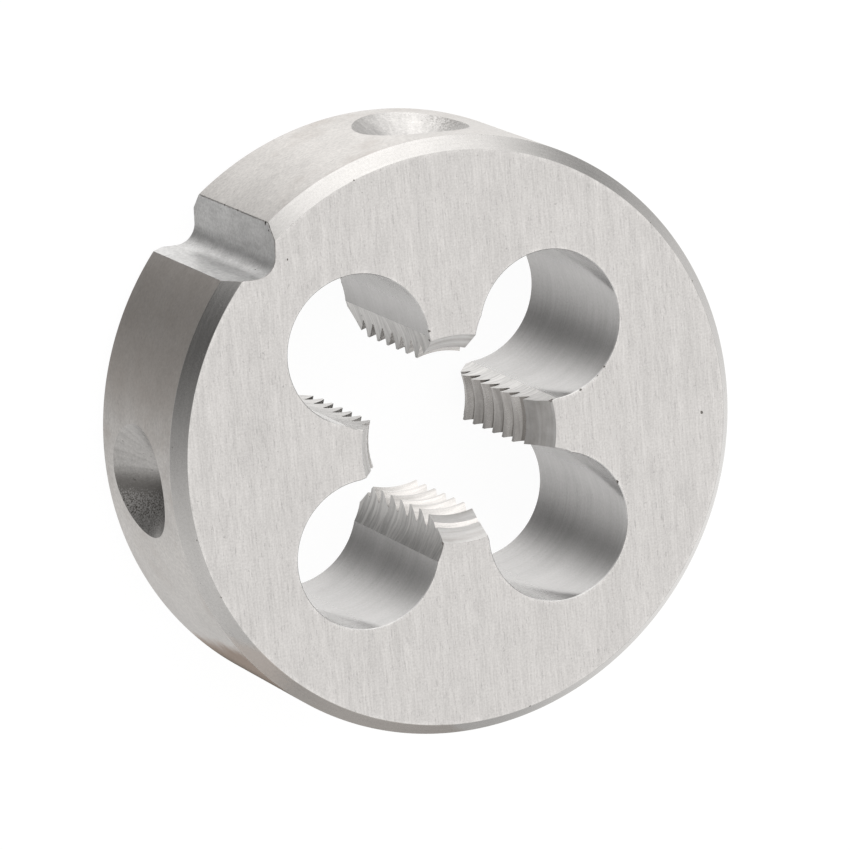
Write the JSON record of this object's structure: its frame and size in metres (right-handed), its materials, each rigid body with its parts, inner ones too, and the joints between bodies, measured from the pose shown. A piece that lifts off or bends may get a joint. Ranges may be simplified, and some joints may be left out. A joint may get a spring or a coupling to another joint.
{
  "type": "round threading die",
  "caption": "Round die that cuts a right-hand outside thread on a rod, with toothed lands between round chip holes, a rim groove and dimples for the holder's screws.",
  "frame": {"origin": "centre of the back face, on the thread's axis", "axes": "+Z along the thread's axis from the back face to the front face; +X and +Y lie midway between the chip holes, and the rim groove is at 135 degrees from +X towards +Y"},
  "size_m": [0.02, 0.02, 0.007],
  "materials": {
    "ground_steel": "ground faces and turned edges"
  },
  "bodies": {
    "root": {"die_body": "ground_steel"}
  },
  "joints": []
}
